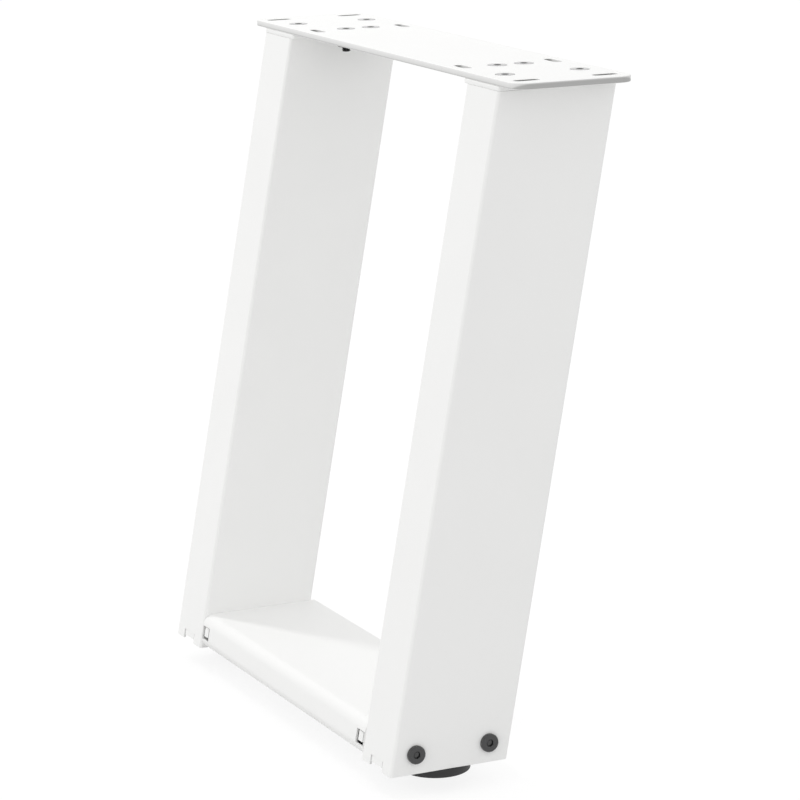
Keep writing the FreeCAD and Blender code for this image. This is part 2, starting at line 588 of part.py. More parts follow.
def make_crossbar_bolt(side, along, end, across):
    """Bolt from a post's outer face into the crossbar's threaded block."""
    label = f"{side}_crossbar_bolt_{end}"
    radius = "Sizes.bolt_head_diameter / 2"
    rim_height = "(Sizes.bolt_head_height - Sizes.bolt_head_bevel)"
    barrel = primitive("Cylinder", f"{label}_head", Radius=radius, Height=rim_height)
    face_radius = f"{radius} - Sizes.bolt_head_bevel"
    bevel = "Sizes.bolt_head_bevel"
    face = primitive("Cone", f"{label}_face", Radius1=radius, Radius2=face_radius, Height=bevel)
    place(face, z=rim_height)
    shank = threaded_shank(label, "Sizes.bolt_diameter", "Sizes.bolt_length", "Sizes.thread_end_chamfer")
    socket_z = "Sizes.bolt_head_height - Sizes.socket_depth"
    socket = hexagon(f"{label}_socket", "Sizes.socket_width", "Sizes.socket_depth", z=socket_z)
    bolt = keep(without(f"{label}_solid", fused(f"{label}_blank", barrel, face, *shank), socket), label)
    bolt.Placement.Rotation = Rotation(Vector(0, 0, 1), Vector(along, 0, 0))
    y = f"{BOLT_Y} + {across} * {BOLT_SPACING} / 2"
    place(bolt, f"{along} * Sizes.frame_width / 2", y, f"Sizes.bolt_rise - {POST_BOTTOM}")


def make_foot(side, along):
    """Plastic foot on a threaded stud, and the nut on the foot plate that the stud turns in."""
    x, y = f"{along} * {POST_X}", f"{POST_BOTTOM_Y} + {FOOT_SHIFT}"
    nut_label = f"{side}_foot_nut"
    nut_z = f"{FOOT_PLATE_TOP} - {POST_BOTTOM}"
    width, height = "Sizes.foot_nut_width", "Sizes.foot_nut_height"
    make_nut(nut_label, width, height, "Sizes.stud_diameter", x, y, nut_z)
    label = f"{side}_foot_stud"
    hung = threaded_shank(label, "Sizes.stud_diameter", "Sizes.stud_length", "Sizes.stud_chamfer")
    shank = fused(f"{label}_upright", *hung)
    shank.Placement.Rotation = Rotation(Vector(0, 0, 1), Vector(0, 0, -1))
    head_height = "Sizes.stud_head_height"
    head = hexagon(f"{label}_head", "Sizes.stud_head_width", head_height, z=f"-{head_height}")
    stud = keep(fused(f"{label}_solid", shank, head), label)
    place(stud, x, y, f"{HUB_TOP} - {POST_BOTTOM}")
    label = f"{side}_foot_pad"
    blank = doc.addObject("PartDesign::Body", f"{label}_blank")
    disc = new_sketch(blank, "disc_outline", z="-Sizes.foot_drop")
    add_circle(disc, "disc", "0", "0", "Sizes.pad_diameter")
    disc_pad = add_pad(blank, disc, "disc", "Sizes.foot_drop - Sizes.foot_clearance", downward=False)
    lower_rim = edge_names(disc_pad, rim(size("pad_diameter") / 2, -size("foot_drop")))
    add_fillet(blank, disc_pad, "lower_rim", lower_rim, "Sizes.pad_edge_radius")
    hub = new_sketch(blank, "hub_outline", z="-Sizes.foot_drop / 2")
    add_circle(hub, "hub", "0", "0", "Sizes.hub_diameter")
    add_pad(blank, hub, "hub", f"{HUB_TOP} + Sizes.foot_drop / 2", downward=False)
    seat_width = "(Sizes.stud_head_width + 2 * Sizes.thread_clearance)"
    seat_z = f"{HUB_TOP} - Sizes.stud_head_height"
    seat = hexagon(f"{label}_seat", seat_width, "Sizes.stud_head_height", z=seat_z)
    pad = keep(without(f"{label}_solid", blank, seat), label)
    place(pad, x, y, f"-{POST_BOTTOM}")


make_top_plate()
make_crossbar()
for side, along in SIDES.items():
    make_post_flange(side, along)
    make_post(side, along)
    make_crossbar_block(side, along)
    make_foot_plate(side, along)
    make_foot(side, along)
    make_plate_screws(side, along)
    for end, across in ENDS.items():
        make_crossbar_bolt(side, along, end, across)

doc.recompute()

for obj in doc.Objects:
    if "Invalid" in obj.State or "Error" in obj.State:
        raise RuntimeError(f"{obj.Name} did not compute: {obj.State}")
for part in PARTS:
    if part.Shape.isNull() or not part.Shape.isValid() or len(part.Shape.Solids) != 1:
        raise RuntimeError(f"{part.Label} is not one valid solid")

os.makedirs("parts", exist_ok=True)
for part in PARTS:
    part.Shape.exportStep(f"parts/{part.Label}.step")
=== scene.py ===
import json
import math

import bmesh
import bpy
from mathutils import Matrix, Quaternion, Vector

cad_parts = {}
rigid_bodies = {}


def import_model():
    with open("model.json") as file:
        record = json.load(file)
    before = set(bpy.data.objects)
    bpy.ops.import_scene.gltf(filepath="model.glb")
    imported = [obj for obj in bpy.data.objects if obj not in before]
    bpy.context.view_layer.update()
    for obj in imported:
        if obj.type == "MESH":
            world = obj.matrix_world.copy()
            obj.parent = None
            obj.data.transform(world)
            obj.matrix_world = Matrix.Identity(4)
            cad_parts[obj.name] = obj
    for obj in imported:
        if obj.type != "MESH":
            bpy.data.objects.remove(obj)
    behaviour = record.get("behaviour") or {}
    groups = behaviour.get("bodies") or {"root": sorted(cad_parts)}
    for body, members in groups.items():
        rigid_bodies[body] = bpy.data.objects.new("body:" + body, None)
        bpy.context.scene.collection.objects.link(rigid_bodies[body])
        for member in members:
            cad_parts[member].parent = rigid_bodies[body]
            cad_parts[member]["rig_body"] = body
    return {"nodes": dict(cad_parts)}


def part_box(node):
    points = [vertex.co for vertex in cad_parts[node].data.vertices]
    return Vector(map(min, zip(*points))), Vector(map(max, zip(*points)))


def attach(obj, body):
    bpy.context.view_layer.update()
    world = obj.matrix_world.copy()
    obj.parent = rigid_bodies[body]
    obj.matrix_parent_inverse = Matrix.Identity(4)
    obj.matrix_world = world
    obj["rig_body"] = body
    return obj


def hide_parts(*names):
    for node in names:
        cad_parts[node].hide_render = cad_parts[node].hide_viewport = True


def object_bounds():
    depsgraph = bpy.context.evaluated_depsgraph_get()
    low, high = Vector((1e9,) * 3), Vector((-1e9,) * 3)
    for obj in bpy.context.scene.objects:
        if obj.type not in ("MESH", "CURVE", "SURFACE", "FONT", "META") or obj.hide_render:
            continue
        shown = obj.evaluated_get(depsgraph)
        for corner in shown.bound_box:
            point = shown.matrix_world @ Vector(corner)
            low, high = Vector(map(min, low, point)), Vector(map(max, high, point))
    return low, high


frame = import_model()
cad_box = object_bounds()
nodes = frame["nodes"]

MM = 0.001
TURN = 2 * math.pi
UP = Vector((0, 0, 1))
SIDES = {"left": -1, "right": 1}
ENDS = ("front", "rear")
SCREWS = (1, 2, 3, 4)

# The camera stands off the right post's front corner with a long lens, a little above the plate
CAMERA_PLACE = Vector((1.8925, -0.9362, 0.2563))
CAMERA_AIM = Vector((0.0226, -0.0347, -0.2206))
CAMERA_LENS_MM = 151.5
CAMERA_ROLL_DEG = 0.48

# Soft light from all round, a small key lamp on the upper left, a wide weak lamp in front that fills the
# front faces, and a floor that throws some light back. Places and sizes are in metres, powers in watts.
WORLD_LIGHT = 0.94
LAMP_AIM = Vector((0, -0.03, -0.15))
KEY_PLACE = Vector((-1.507, -0.53, 1.65))
KEY_SIZE = 0.2
KEY_POWER = 10.0
FILL_PLACE = Vector((0.48, -2.31, 0.45))
FILL_SIZE = 1.2
FILL_POWER = 3.6
FLOOR_REACH = 30.0
FLOOR_GLOW = 0.86
FOOT_TRAVEL_MM = 10

# Sheet edges under the coat, in millimetres. The threaded blocks' edges are finer, because their tabs
# stand close to them.
PLATE_EDGE_RADIUS = 0.6
SHEET_EDGE_RADIUS = 0.2
BLOCK_EDGE_RADIUS = 0.12
EDGE_SEGMENTS = 3
SHARP_ANGLE = math.radians(30)
SAME_POINT_MM = 0.001
FLAT_WITHIN_MM = 0.002

# A face of the plate is cut through it where its normal has less than this along Z, and belongs to the
# outline where it lies this near to the plate's sides
# The faces so found take painted shade.
CUT_FACE_SLOPE = 0.5
OUTLINE_WITHIN_MM = 5

# Threads, sockets and bevels, in millimetres. A share is of the pitch, or of the width across the flats.
M6, M6_PITCH = 6.0, 1.0
M8, M8_PITCH = 8.0, 1.25
THREAD_DEPTH_SHARE = 0.61
ROWS_PER_PITCH = 6
SEGMENTS = 48
BOLT_THREAD_LENGTH = 24.0
THREAD_END_BEVEL = 0.6
STUD_END_BEVEL = 1.0
SOCKET_WIDTH = 4.0
SOCKET_DEPTH = 2.0
SOCKET_MOUTH_SHARE = 1.05
DRILL_SHARE = 0.46
DRILL_SLOPE = math.tan(math.radians(31))
HEAD_RIM = 0.1
BOLT_HEAD_HEIGHT = 2.4
BOLT_FACE_RADIUS = 0.9
BOLT_SEAT_RADIUS = 0.15
NUT_FACE_SHARE = 0.475
NUT_SLOPE = math.tan(math.radians(30))
NUT_MOUTH = 0.4
BORE_CLEARANCE = 0.05

# The moulded foot, in millimetres
STUD_HEAD_WIDTH = 13.0
STUD_HEAD_HEIGHT = 4.5
SEAT_CLEARANCE = 0.05
SEAT_LEAD_IN = 0.3
PAD_DISC_HEIGHT = 5.2
PAD_EDGE_RADIUS = 1.0
PAD_TOP_RADIUS = 0.4
PAD_DRAFT = 0.1
HUB_DIAMETER = 24.0
HUB_EDGE_RADIUS = 0.5
SOLE_RECESS = 0.5
SOLE_RING_DIAMETER = 29.0
GATE_DIAMETER = 4.0
GATE_DEPTH = 0.4
ARC_STEPS = 4
FLAT_MARGIN = 0.1


def linear(hex_colour):
    """An sRGB hex colour as the linear RGBA that the nodes take."""
    values = [int(hex_colour[place:place + 2], 16) / 255 for place in (1, 3, 5)]
    return [v / 12.92 if v <= 0.04045 else ((v + 0.055) / 1.055) ** 2.4 for v in values] + [1]


def add_node(tree, kind, settings=None, **inputs):
    """Add a node, set its properties and its inputs, and link the inputs that are sockets."""
    node = tree.nodes.new(kind)
    for name, value in (settings or {}).items():
        setattr(node, name, value)
    for name, value in inputs.items():
        socket = node.inputs[name.replace("_", " ")]
        if isinstance(value, bpy.types.NodeSocket):
            tree.links.new(value, socket)
        else:
            socket.default_value = value
    return node


def new_material(name):
    """An empty material with a surface shader and the object's own coordinates."""
    material = bpy.data.materials.new(name)
    material.use_nodes = True
    tree = material.node_tree
    tree.nodes.clear()
    shader = add_node(tree, "ShaderNodeBsdfPrincipled")
    output = add_node(tree, "ShaderNodeOutputMaterial")
    tree.links.new(shader.outputs["BSDF"], output.inputs["Surface"])
    place = add_node(tree, "ShaderNodeTexCoord").outputs["Object"]
    return material, tree, shader, place


def powder_coated_steel():
    """White polyester powder coat, baked on folded steel sheet: an even satin white whose fine orange
    peel only breaks up the light a little, with a cloudiness that the eye just feels. The finest grain
    is drawn coarser than it is, so that it shows."""
    material, tree, shader, place = new_material("powder_coated_steel")
    cloud_mm, orange_peel_mm, grain_mm = 45, 1.8, 0.4
    cloud = add_node(
        tree, "ShaderNodeTexNoise", Vector=place, Scale=1 / (cloud_mm * MM), Detail=2.0
    )
    peel = add_node(
        tree, "ShaderNodeTexNoise", Vector=place, Scale=1 / (orange_peel_mm * MM), Detail=1.0
    )
    grain = add_node(
        tree, "ShaderNodeTexNoise", Vector=place, Scale=1 / (grain_mm * MM), Detail=1.0
    )
    tint = add_node(tree, "ShaderNodeValToRGB", Fac=cloud.outputs["Fac"])
    tint.color_ramp.elements[0].color = linear("#F2F2F1")
    tint.color_ramp.elements[1].color = linear("#F5F5F4")
    satin = add_node(
        tree, "ShaderNodeMapRange", Value=peel.outputs["Fac"], To_Min=0.46, To_Max=0.56
    )
    peel_bump = add_node(
        tree, "ShaderNodeBump", Height=peel.outputs["Fac"], Strength=0.06, Distance=0.03 * MM
    )
    bump = add_node(
        tree, "ShaderNodeBump", Height=grain.outputs["Fac"], Strength=0.08, Distance=0.01 * MM,
        Normal=peel_bump.outputs["Normal"],
    )
    tree.links.new(tint.outputs["Color"], shader.inputs["Base Color"])
    tree.links.new(satin.outputs["Result"], shader.inputs["Roughness"])
    tree.links.new(bump.outputs["Normal"], shader.inputs["Normal"])
    shader.inputs["IOR"].default_value = 1.5
    return material


def slot_painted_shade():
    """The same coat inside the plate's slots and holes, with painted shade: grey, and darkest on the
    walls that lie across the plate's length."""
    material, tree, shader, _ = new_material("slot_painted_shade")
    facing = add_node(tree, "ShaderNodeNewGeometry").outputs["Normal"]
    facing_parts = add_node(tree, "ShaderNodeSeparateXYZ", Vector=facing)
    lengthwise = add_node(
        tree, "ShaderNodeMath", {"operation": "ABSOLUTE"}, Value=facing_parts.outputs["X"]
    )
    # painted shade: walls that face along the plate's length are darkest
    tint = add_node(tree, "ShaderNodeValToRGB", Fac=lengthwise.outputs["Value"])
    tint.color_ramp.elements[0].position = 0.3
    tint.color_ramp.elements[0].color = linear("#D8D8D7")
    tint.color_ramp.elements[1].color = linear("#7A7A79")
    tree.links.new(tint.outputs["Color"], shader.inputs["Base Color"])
    shader.inputs["Roughness"].default_value = 0.55
    shader.inputs["IOR"].default_value = 1.5
    return material


def cut_edge_painted_shade():
    """The same coat on the plate's cut outline, with painted shade: greyer than the faces, darker
    towards the lower rim and darkest on the two ends."""
    material, tree, shader, place = new_material("cut_edge_painted_shade")
    plate_mm = size_of("top_plate").z
    place_parts = add_node(tree, "ShaderNodeSeparateXYZ", Vector=place)
    facing = add_node(tree, "ShaderNodeNewGeometry").outputs["Normal"]
    facing_parts = add_node(tree, "ShaderNodeSeparateXYZ", Vector=facing)
    # painted shade: the tone falls towards the plate's lower rim
    height = add_node(
        tree, "ShaderNodeMapRange", Value=place_parts.outputs["Z"],
        From_Min=-plate_mm * MM, From_Max=0.0,
    )
    lengthwise = add_node(
        tree, "ShaderNodeMath", {"operation": "ABSOLUTE"}, Value=facing_parts.outputs["X"]
    )
    # painted shade: faces that look along the plate's length, at its two ends, are darker
    end = add_node(
        tree, "ShaderNodeMapRange", Value=lengthwise.outputs["Value"],
        From_Min=0.4, From_Max=1.0, To_Max=0.7,
    )
    painted_light_level = add_node(
        tree, "ShaderNodeMath", {"operation": "SUBTRACT"}, Value=height.outputs["Result"]
    )
    tree.links.new(end.outputs["Result"], painted_light_level.inputs[1])
    tint = add_node(tree, "ShaderNodeValToRGB", Fac=painted_light_level.outputs["Value"])
    tint.color_ramp.elements[0].color = linear("#B0B0AF")
    tint.color_ramp.elements[1].color = linear("#ECECEB")
    tint.color_ramp.elements.new(0.3).color = linear("#DCDCDB")
    tree.links.new(tint.outputs["Color"], shader.inputs["Base Color"])
    shader.inputs["Roughness"].default_value = 0.5
    shader.inputs["IOR"].default_value = 1.5
    return material


def black_lacquered_steel():
    """Black baked lacquer with a clear top coat on the steel screws: near black and glossy, so that a
    head seen at a low angle mirrors the pale studio, with faint waves from the dipping."""
    material, tree, shader, place = new_material("black_lacquered_steel")
    dip_mm, dust_mm = 2.5, 0.3
    dip = add_node(
        tree, "ShaderNodeTexNoise", Vector=place, Scale=1 / (dip_mm * MM), Detail=2.0
    )
    dust = add_node(
        tree, "ShaderNodeTexNoise", Vector=place, Scale=1 / (dust_mm * MM), Detail=2.0
    )
    tint = add_node(tree, "ShaderNodeValToRGB", Fac=dip.outputs["Fac"])
    tint.color_ramp.elements[0].color = linear("#141415")
    tint.color_ramp.elements[1].color = linear("#1B1B1C")
    gloss = add_node(
        tree, "ShaderNodeMapRange", Value=dust.outputs["Fac"], To_Min=0.12, To_Max=0.2
    )
    bump = add_node(
        tree, "ShaderNodeBump", Height=dip.outputs["Fac"], Strength=0.1, Distance=0.02 * MM
    )
    tree.links.new(tint.outputs["Color"], shader.inputs["Base Color"])
    tree.links.new(gloss.outputs["Result"], shader.inputs["Roughness"])
    tree.links.new(bump.outputs["Normal"], shader.inputs["Normal"])
    shader.inputs["IOR"].default_value = 1.5
    shader.inputs["Coat Weight"].default_value = 0.75
    shader.inputs["Coat Roughness"].default_value = 0.08
    shader.inputs["Coat IOR"].default_value = 1.5
    return material


def zinc_plated_steel():
    """Bright zinc plate on the stud and its nut: a light metal with a faint cloudy spangle, drawn
    coarser than it is, so that it shows."""
    material, tree, shader, place = new_material("zinc_plated_steel")
    spangle_mm = 1.5
    spangle = add_node(tree, "ShaderNodeTexVoronoi", Vector=place, Scale=1 / (spangle_mm * MM))
    tint = add_node(tree, "ShaderNodeValToRGB", Fac=spangle.outputs["Distance"])
    tint.color_ramp.elements[0].color = linear("#C4C7CA")
    tint.color_ramp.elements[1].color = linear("#D3D5D7")
    gloss = add_node(
        tree, "ShaderNodeMapRange", Value=spangle.outputs["Distance"], To_Min=0.22, To_Max=0.34
    )
    tree.links.new(tint.outputs["Color"], shader.inputs["Base Color"])
    tree.links.new(gloss.outputs["Result"], shader.inputs["Roughness"])
    shader.inputs["Metallic"].default_value = 1.0
    return material


def moulded_polyamide():
    """Black injection-moulded polyamide on the feet: near black, with a fine eroded grain, which is
    drawn coarser than it is, so that it shows."""
    material, tree, shader, place = new_material("moulded_polyamide")
    grain_mm, flow_mm = 0.4, 12
    grain = add_node(
        tree, "ShaderNodeTexNoise", Vector=place, Scale=1 / (grain_mm * MM), Detail=3.0
    )
    flow = add_node(
        tree, "ShaderNodeTexNoise", Vector=place, Scale=1 / (flow_mm * MM), Detail=2.0
    )
    tint = add_node(tree, "ShaderNodeValToRGB", Fac=flow.outputs["Fac"])
    tint.color_ramp.elements[0].color = linear("#181819")
    tint.color_ramp.elements[1].color = linear("#1D1D1E")
    matt = add_node(
        tree, "ShaderNodeMapRange", Value=grain.outputs["Fac"], To_Min=0.42, To_Max=0.56
    )
    bump = add_node(
        tree, "ShaderNodeBump", Height=grain.outputs["Fac"], Strength=0.25, Distance=0.02 * MM
    )
    tree.links.new(tint.outputs["Color"], shader.inputs["Base Color"])
    tree.links.new(matt.outputs["Result"], shader.inputs["Roughness"])
    tree.links.new(bump.outputs["Normal"], shader.inputs["Normal"])
    shader.inputs["IOR"].default_value = 1.53
    return material


def new_piece(name, mesh, material, node):
    """A piece in place of a CAD node, on the node's body and with its finish."""
    mesh.materials.clear()
    mesh.materials.append(material)
    piece = bpy.data.objects.new(name, mesh)
    bpy.context.scene.collection.objects.link(piece)
    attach(piece, nodes[node]["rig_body"])
    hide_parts(node)
    return piece


def in_plane(face, middle, normal):
    """True for a face whose corners all lie in a plane."""
    return all(abs((corner.co - middle).dot(normal)) < FLAT_WITHIN_MM * MM for corner in face.verts)


def number_flats(shape):
    """Number the connected faces that lie in one plane, from the largest face down, and return the
    layer of numbers and the planes."""
    layer = shape.faces.layers.int.new("flat")
    planes = []
    for start in sorted(shape.faces, key=lambda face: -face.calc_area()):
        if start[layer]:
            continue
        plane = start.calc_center_median(), start.normal.copy()
        planes.append(plane)
        waiting = [start]
        while waiting:
            face = waiting.pop()
            if not face[layer] and in_plane(face, *plane):
                face[layer] = len(planes)
                waiting += [other for edge in face.edges for other in edge.link_faces]
    return layer, planes


def refill_flats(shape, layer, planes):
    """Fill every flat face anew between its rims, now that rounding its edges has moved them."""
    for number, (middle, normal) in enumerate(planes, start=1):
        old = [
            face for face in shape.faces
            if face[layer] == number and in_plane(face, middle, normal)
        ]
        flat = set(old)
        if len(old) > 2:
            rim = [edge for edge in shape.edges if len(flat.intersection(edge.link_faces)) == 1]
            bmesh.ops.delete(shape, geom=old, context="FACES")
            bmesh.ops.triangle_fill(shape, use_beauty=True, edges=rim, normal=normal)


def coat(node, radius, material, outline_shade_material=None, slot_shade_material=None):
    """A sheet part as it comes from the coating line: the same shape with its cut edges rounded. The
    faces cut through a flat plate take materials of their own with painted shade, on its outline and in
    its slots."""
    mesh = bpy.data.meshes.new(f"{node}_coated")
    shape = bmesh.new()
    shape.from_mesh(nodes[node].data)
    bmesh.ops.remove_doubles(shape, verts=shape.verts, dist=SAME_POINT_MM * MM)
    layer, planes = number_flats(shape)
    cut = [edge for edge in shape.edges if edge.calc_face_angle() > SHARP_ANGLE]
    bmesh.ops.bevel(
        shape, geom=cut, offset=radius * MM, offset_type="OFFSET", affect="EDGES",
        segments=EDGE_SEGMENTS, profile=0.5, clamp_overlap=False,
    )
    refill_flats(shape, layer, planes)
    bmesh.ops.recalc_face_normals(shape, faces=shape.faces)
    for face in shape.faces:
        face.smooth = True
    shape.to_mesh(mesh)
    shape.free()
    piece = new_piece(f"{node}_coated", mesh, material, node)
    if outline_shade_material:
        mesh.materials.append(outline_shade_material)
        mesh.materials.append(slot_shade_material)
        middle, size = centre_of(node), size_of(node)
        for face in mesh.polygons:
            depth = [
                size[axis] / 2 - abs(face.center[axis] - middle[axis]) / MM for axis in (0, 1)
            ]
            # faces cut through the plate take painted shade, on the outline or in the slots
            if abs(face.normal.z) < CUT_FACE_SLOPE:
                face.material_index = 1 if min(depth) < OUTLINE_WITHIN_MM else 2
    flat = piece.modifiers.new("flat_faces", "WEIGHTED_NORMAL")
    flat.keep_sharp = True
    flat.weight = 100


def ring(radius, height):
    """A round row of a turned piece."""
    return lambda angle: (radius, height)


def hexagon(width, angle):
    """How far a hexagon of a width across its flats reaches at an angle, with a corner at zero."""
    sector = TURN / 6
    return width / 2 / math.cos(angle % sector - sector / 2)


def hexagon_row(width, height, rim=None, slope=0.0):
    """A six-sided row, level, or where the sides meet a cone of a slope that has a rim's radius at that
    height."""
    def row(angle):
        reach = hexagon(width, angle)
        return reach, height + (slope * (reach - rim) if rim else 0.0)
    return row


def arc(radius, height, across, start, end):
    """Rows round a rounded edge: its middle, its radius and its turn in degrees, where 0 points
    outwards and 90 points up."""
    turns = [math.radians(start + (end - start) * step / ARC_STEPS) for step in range(ARC_STEPS + 1)]
    return [ring(radius + across * math.cos(turn), height + across * math.sin(turn)) for turn in turns]


def thread(diameter, pitch, low, high, end_bevel):
    """Rows of a screw thread from a bevelled lower end up to a height."""
    depth = THREAD_DEPTH_SHARE * pitch
    count = round((high - low) / pitch * ROWS_PER_PITCH)

    def row_at(height):
        """One level row, in which the ridge climbs with the angle."""
        def row(angle):
            place = (height / pitch - angle / TURN) % 1
            ridge = diameter / 2 - depth * abs(2 * place - 1)
            return min(ridge, diameter / 2 - end_bevel + height - low), height
        return row

    return [row_at(low + (high - low) * step / count) for step in range(count + 1)]


def socket(height):
    """Rows of a hexagon socket in a face at a height, down to the point that its drill leaves."""
    mouth = hexagon(SOCKET_WIDTH, 0) * SOCKET_MOUTH_SHARE
    floor = height - SOCKET_DEPTH
    drill = DRILL_SHARE * SOCKET_WIDTH
    return [
        ring(mouth, height),
        hexagon_row(SOCKET_WIDTH, height, rim=mouth, slope=1.0),
        hexagon_row(SOCKET_WIDTH, floor),
        ring(drill, floor),
        ring(0, floor - drill * DRILL_SLOPE),
    ]


def turned(node, rows, at, axis, material):
    """A piece built of rows about an axis, in place of a CAD node. Rows are in millimetres from a point.
    A row of no radius is a point, and where the first row isn't one, the last row joins the first."""
    turn = UP.rotation_difference(axis)
    shape = bmesh.new()
    rings = []
    for row in rows:
        points = []
        for step in range(SEGMENTS):
            angle = step * TURN / SEGMENTS
            radius, height = row(angle)
            if radius or not points:
                local = Vector((radius * math.cos(angle), radius * math.sin(angle), height)) * MM
                points.append(shape.verts.new(at + turn @ local))
        rings.append(points)
    if len(rings[0]) > 1:
        rings.append(rings[0])
    for low, high in zip(rings, rings[1:]):
        for step in range(SEGMENTS):
            following = (step + 1) % SEGMENTS
            corners = [
                low[step % len(low)], low[following % len(low)],
                high[following % len(high)], high[step % len(high)],
            ]
            shape.faces.new(list(dict.fromkeys(corners)))
    for face in shape.faces:
        face.smooth = True
    mesh = bpy.data.meshes.new(f"{node}_turned")
    shape.to_mesh(mesh)
    shape.free()
    mesh.set_sharp_from_angle(angle=SHARP_ANGLE)
    return new_piece(f"{node}_detailed", mesh, material, node)


def centre_of(node):
    """The middle of a CAD node's box."""
    low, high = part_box(node)
    return (low + high) / 2


def size_of(node):
    """A CAD node's extents in millimetres."""
    low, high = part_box(node)
    return (high - low) / MM


def plate_screw(node, material):
    """Countersunk screw, its head level with the plate, threaded up to its head."""
    at = centre_of(node)
    at.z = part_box(node)[1].z
    size = size_of(node)
    head, shank = size.x / 2, M6 / 2
    rows = [ring(0, -size.z)]
    rows += thread(M6, M6_PITCH, -size.z, shank - head - M6_PITCH / 2, THREAD_END_BEVEL)
    rows += [
        ring(shank, shank - head),
        ring(head - HEAD_RIM, -HEAD_RIM),
        ring(head - HEAD_RIM / 2, -HEAD_RIM / 2),
        ring(head - HEAD_RIM, 0),
    ]
    turned(node, rows + socket(0), at, UP, material)


def crossbar_bolt(node, along, material):
    """Low round head outside the post, and a shank threaded on its inner part."""
    at = centre_of(node)
    size = size_of(node)
    low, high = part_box(node)
    at.x = (high.x if along > 0 else low.x) - along * BOLT_HEAD_HEIGHT * MM
    length, head = size.x - BOLT_HEAD_HEIGHT, size.y / 2
    round_off = BOLT_FACE_RADIUS
    rows = [ring(0, -length)]
    rows += thread(M6, M6_PITCH, -length, BOLT_THREAD_LENGTH - length, THREAD_END_BEVEL)
    rows += [
        ring(M6 / 2, BOLT_THREAD_LENGTH - length + M6_PITCH / 2),
        ring(M6 / 2, 0),
        ring(head - BOLT_SEAT_RADIUS, 0),
        ring(head, BOLT_SEAT_RADIUS),
    ]
    rows += arc(head - round_off, BOLT_HEAD_HEIGHT - round_off, round_off, 0, 90)
    rows.append(ring(head - round_off - FLAT_MARGIN, BOLT_HEAD_HEIGHT))
    turned(node, rows + socket(BOLT_HEAD_HEIGHT), at, Vector((along, 0, 0)), material)


def hexagon_nut(node, thread_diameter, material):
    """Hexagon nut with the corners turned off both faces and a bevelled bore."""
    at = centre_of(node)
    at.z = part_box(node)[0].z
    size = size_of(node)
    width, height = size.y, size.z
    rim, bore = NUT_FACE_SHARE * width, thread_diameter / 2 + BORE_CLEARANCE
    rows = [
        ring(rim, 0),
        hexagon_row(width, 0, rim=rim, slope=NUT_SLOPE),
        hexagon_row(width, height, rim=rim, slope=-NUT_SLOPE),
        ring(rim, height),
        ring(bore + NUT_MOUTH, height),
        ring(bore, height - NUT_MOUTH),
        ring(bore, NUT_MOUTH),
        ring(bore + NUT_MOUTH, 0),
    ]
    turned(node, rows, at, UP, material)


def foot_stud(node, material):
    """Hexagon head, which sits in the foot, and a threaded stud that rises from it."""
    at = centre_of(node)
    at.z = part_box(node)[0].z
    length = size_of(node).z
    rim = NUT_FACE_SHARE * STUD_HEAD_WIDTH
    top = STUD_HEAD_HEIGHT
    shank = thread(M8, M8_PITCH, 0, length - top, STUD_END_BEVEL)

    def turned_over(row):
        """The same row counted from the stud's upper end down."""
        def upper(angle):
            radius, height = row(-angle)
            return radius, length - height
        return upper

    rows = [
        ring(0, 0),
        ring(rim, 0),
        hexagon_row(STUD_HEAD_WIDTH, 0, rim=rim, slope=NUT_SLOPE),
        hexagon_row(STUD_HEAD_WIDTH, top, rim=rim, slope=-NUT_SLOPE),
        ring(rim, top),
    ]
    rows += [turned_over(row) for row in reversed(shank)]
    rows.append(ring(0, length))
    turned(node, rows, at, UP, material)


def foot_pad(node, material):
    """Moulded disc with a raised hub that holds the stud's head, and a recessed sole with the gate's
    dimple."""
    at = centre_of(node)
    at.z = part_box(node)[0].z
    size = size_of(node)
    radius, top, hub = size.x / 2, size.z, HUB_DIAMETER / 2
    upper = radius - PAD_DRAFT - PAD_TOP_RADIUS
    seat_width = STUD_HEAD_WIDTH + 2 * SEAT_CLEARANCE
    seat_mouth = hexagon(seat_width, 0) + SEAT_LEAD_IN
    seat_floor = top - STUD_HEAD_HEIGHT
    rows = [
        ring(0, SOLE_RECESS + GATE_DEPTH),
        ring(GATE_DIAMETER / 2 - GATE_DEPTH, SOLE_RECESS + GATE_DEPTH),
        ring(GATE_DIAMETER / 2, SOLE_RECESS),
        ring(SOLE_RING_DIAMETER / 2 - SOLE_RECESS, SOLE_RECESS),
        ring(SOLE_RING_DIAMETER / 2, 0),
    ]
    rows += arc(radius - PAD_EDGE_RADIUS, PAD_EDGE_RADIUS, PAD_EDGE_RADIUS, -90, 0)
    rows += arc(upper, PAD_DISC_HEIGHT - PAD_TOP_RADIUS, PAD_TOP_RADIUS, 0, 90)
    rows += [
        ring(hub + HUB_EDGE_RADIUS, PAD_DISC_HEIGHT),
        ring(hub, PAD_DISC_HEIGHT + HUB_EDGE_RADIUS),
    ]
    rows += arc(hub - HUB_EDGE_RADIUS, top - HUB_EDGE_RADIUS, HUB_EDGE_RADIUS, 0, 90)
    rows += [
        ring(seat_mouth, top),
        hexagon_row(seat_width, top, rim=seat_mouth, slope=1.0),
        hexagon_row(seat_width, seat_floor),
        ring(0, seat_floor),
    ]
    turned(node, rows, at, UP, material)


def seen_rays(tree):
    """The light path, and a socket that is 1 for the camera's rays and those that are mirrored or pass
    through a clear surface, and 0 for the rays that light a surface."""
    path = add_node(tree, "ShaderNodeLightPath")
    seen = add_node(tree, "ShaderNodeMath", {"operation": "MAXIMUM"})
    tree.links.new(path.outputs["Is Camera Ray"], seen.inputs[0])
    tree.links.new(path.outputs["Is Glossy Ray"], seen.inputs[1])
    all_seen = add_node(
        tree, "ShaderNodeMath", {"operation": "MAXIMUM"}, Value=seen.outputs["Value"]
    )
    tree.links.new(path.outputs["Is Transmission Ray"], all_seen.inputs[1])
    return path, all_seen.outputs["Value"]


